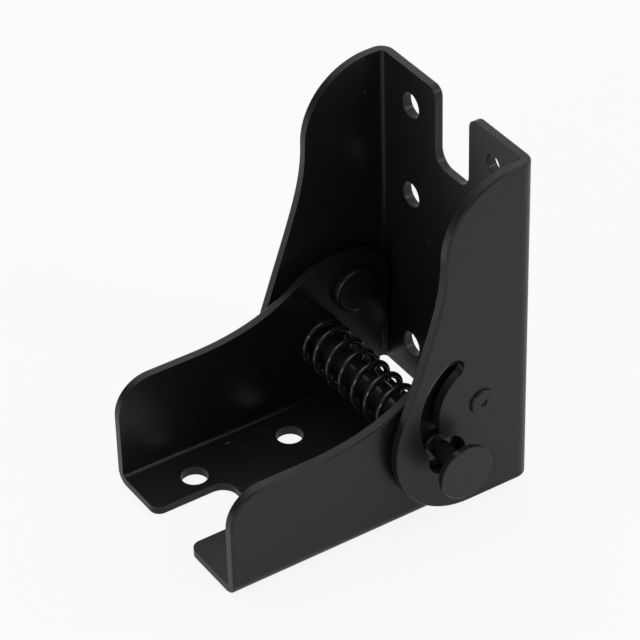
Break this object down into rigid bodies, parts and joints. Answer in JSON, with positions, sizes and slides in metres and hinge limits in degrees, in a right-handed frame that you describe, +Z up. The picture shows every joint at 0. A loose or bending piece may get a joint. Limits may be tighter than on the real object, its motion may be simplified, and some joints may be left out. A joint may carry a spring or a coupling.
{
  "type": "folding table leg bracket",
  "caption": "Folding bracket that holds a table leg upright and lets it fold flat when a sprung side button is pressed.",
  "frame": {"origin": "on the face of the table channel that lies against the table, at mid-width and level with the pivot", "axes": "+X points away from the table, +Y towards the push button, +Z up along the table channel; the base plate of the leg channel lies level, below the pivot"},
  "size_m": [0.0602, 0.0513, 0.0686],
  "materials": {
    "channel_coat": "semi-gloss black dip coating",
    "rivet_coat": "semi-gloss black",
    "pin_coat": "gloss black",
    "spring_coat": "gloss black wire"
  },
  "bodies": {
    "table": {"table_channel": "channel_coat", "pivot_rivet_near": "rivet_coat", "pivot_rivet_far": "rivet_coat"},
    "leg": {"leg_channel": "channel_coat", "lock_spring": "spring_coat"},
    "pin": {"lock_pin": "pin_coat", "spring_seat": "pin_coat"}
  },
  "joints": [
    {"name": "leg_fold", "type": "hinge", "parent": "table", "child": "leg", "pos_m": [0.0107, 0, 0], "axis": [0, -1, 0], "range_deg": [0, 90]},
    {"name": "button_press", "type": "slide", "parent": "leg", "child": "pin", "axis": [0, -1, 0], "range_m": [0, 0.0023], "stiffness_N_per_m": 600, "springref_m": -0.001, "deforming": ["lock_spring"]}
  ]
}
